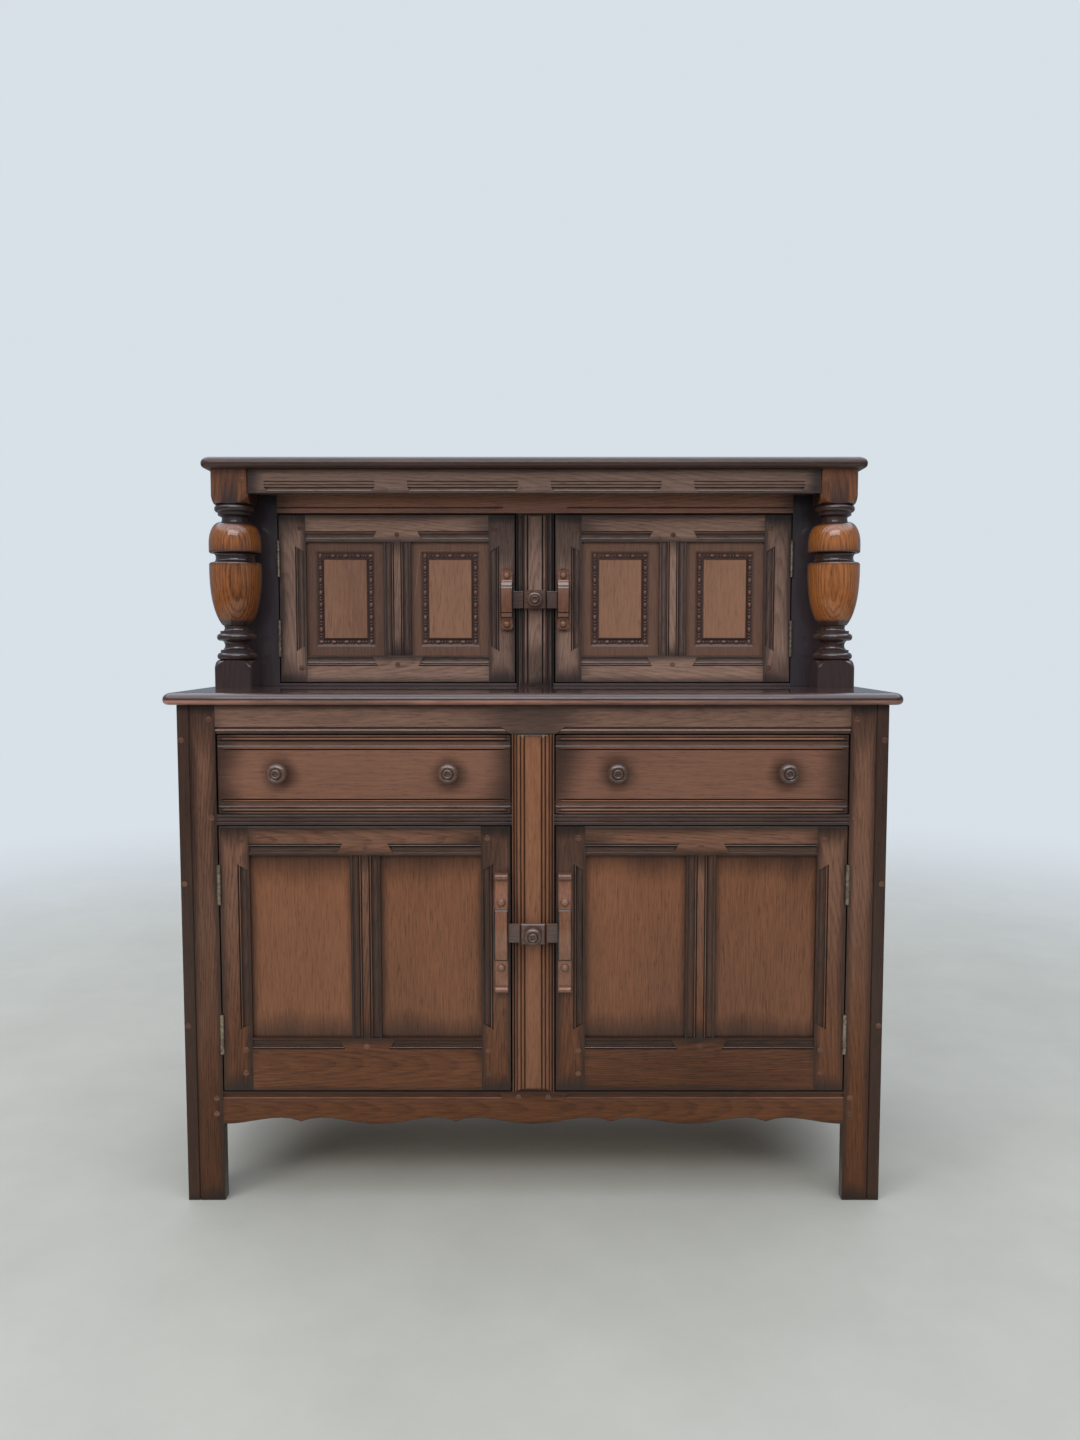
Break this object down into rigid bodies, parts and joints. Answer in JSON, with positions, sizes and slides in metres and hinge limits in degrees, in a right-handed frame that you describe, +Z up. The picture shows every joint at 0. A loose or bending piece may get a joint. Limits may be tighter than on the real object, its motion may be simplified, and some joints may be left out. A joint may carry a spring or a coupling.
{
  "type": "kitchen dresser",
  "caption": "Court-cupboard dresser: a wide cupboard with drawers and framed doors, and a set-back cupboard over it under a canopy on turned columns.",
  "frame": {"origin": "on the floor, under the middle of the bounding box", "axes": "+Z up, +X to the viewer's right when facing the doors, -Y towards the front"},
  "size_m": [1.232, 0.524, 1.29],
  "materials": {
    "stained_wood": "dark brown stain under satin varnish, darker toward the edges",
    "dark_wood": "very dark brown stain under satin varnish",
    "turned_wood": "golden brown stain under gloss varnish, dark in the grooves",
    "pale_wood": "mid brown stain under satin varnish, with a dark carved border",
    "inside_wood": "bare, matt",
    "brass": "dulled with age"
  },
  "bodies": {
    "carcass": {"lower_top": "stained_wood", "side_frames": "stained_wood", "side_panels": "stained_wood", "face_stiles": "stained_wood", "top_rail": "stained_wood", "drawer_rails": "stained_wood", "apron": "stained_wood", "lower_pilaster": "stained_wood", "cupboard_floor": "inside_wood", "cupboard_back": "inside_wood", "cupboard_shelf": "inside_wood", "shelf_bearers": "inside_wood", "drawer_runners": "inside_wood", "left_column": "turned_wood", "right_column": "turned_wood", "canopy_rails": "stained_wood", "upper_top": "stained_wood", "upper_sides": "stained_wood", "upper_back": "inside_wood", "recess_stiles": "dark_wood", "recess_rails": "stained_wood", "upper_pilaster": "stained_wood", "frame_hinge_leaves": "brass"},
    "left_lower_door": {"left_lower_door_stiles": "stained_wood", "left_lower_door_rails": "stained_wood", "left_lower_door_panels": "stained_wood", "left_lower_handle": "dark_wood", "left_lower_catch": "dark_wood", "left_lower_hinges": "brass"},
    "left_upper_door": {"left_upper_door_stiles": "dark_wood", "left_upper_door_rails": "dark_wood", "left_upper_door_panels": "pale_wood", "left_upper_handle": "dark_wood", "left_upper_catch": "dark_wood", "left_upper_hinges": "brass"},
    "right_lower_door": {"right_lower_door_stiles": "stained_wood", "right_lower_door_rails": "stained_wood", "right_lower_door_panels": "stained_wood", "right_lower_handle": "dark_wood", "right_lower_catch": "dark_wood", "right_lower_hinges": "brass"},
    "right_upper_door": {"right_upper_door_stiles": "dark_wood", "right_upper_door_rails": "dark_wood", "right_upper_door_panels": "pale_wood", "right_upper_handle": "dark_wood", "right_upper_catch": "dark_wood", "right_upper_hinges": "brass"},
    "left_drawer": {"left_drawer_front": "stained_wood", "left_drawer_sides": "inside_wood", "left_drawer_bottom": "inside_wood", "left_drawer_knobs": "dark_wood"},
    "right_drawer": {"right_drawer_front": "stained_wood", "right_drawer_sides": "inside_wood", "right_drawer_bottom": "inside_wood", "right_drawer_knobs": "dark_wood"},
    "lower_latch": {"lower_turn_block": "dark_wood", "lower_turn_knob": "dark_wood"},
    "upper_latch": {"upper_turn_block": "dark_wood", "upper_turn_knob": "dark_wood"}
  },
  "joints": [
    {"name": "left_lower_door_hinge", "type": "hinge", "parent": "carcass", "child": "left_lower_door", "pos_m": [-0.5293, -0.222, 0.422], "axis": [0, 0, -1], "range_deg": [0, 170]},
    {"name": "left_upper_door_hinge", "type": "hinge", "parent": "carcass", "child": "left_upper_door", "pos_m": [-0.4843, 0.039, 1.04], "axis": [0, 0, -1], "range_deg": [0, 100]},
    {"name": "right_lower_door_hinge", "type": "hinge", "parent": "carcass", "child": "right_lower_door", "pos_m": [0.5293, -0.222, 0.422], "axis": [0, 0, 1], "range_deg": [0, 170]},
    {"name": "right_upper_door_hinge", "type": "hinge", "parent": "carcass", "child": "right_upper_door", "pos_m": [0.4843, 0.039, 1.04], "axis": [0, 0, 1], "range_deg": [0, 100]},
    {"name": "left_drawer_slide", "type": "slide", "parent": "carcass", "child": "left_drawer", "axis": [0, -1, 0], "range_m": [0, 0.3]},
    {"name": "right_drawer_slide", "type": "slide", "parent": "carcass", "child": "right_drawer", "axis": [0, -1, 0], "range_m": [0, 0.3]},
    {"name": "lower_latch_turn", "type": "hinge", "parent": "carcass", "child": "lower_latch", "pos_m": [0, -0.221, 0.47], "axis": [0, -1, 0], "range_deg": [-45, 45]},
    {"name": "upper_latch_turn", "type": "hinge", "parent": "carcass", "child": "upper_latch", "pos_m": [0, 0.04, 1.038], "axis": [0, -1, 0], "range_deg": [-45, 45]}
  ]
}
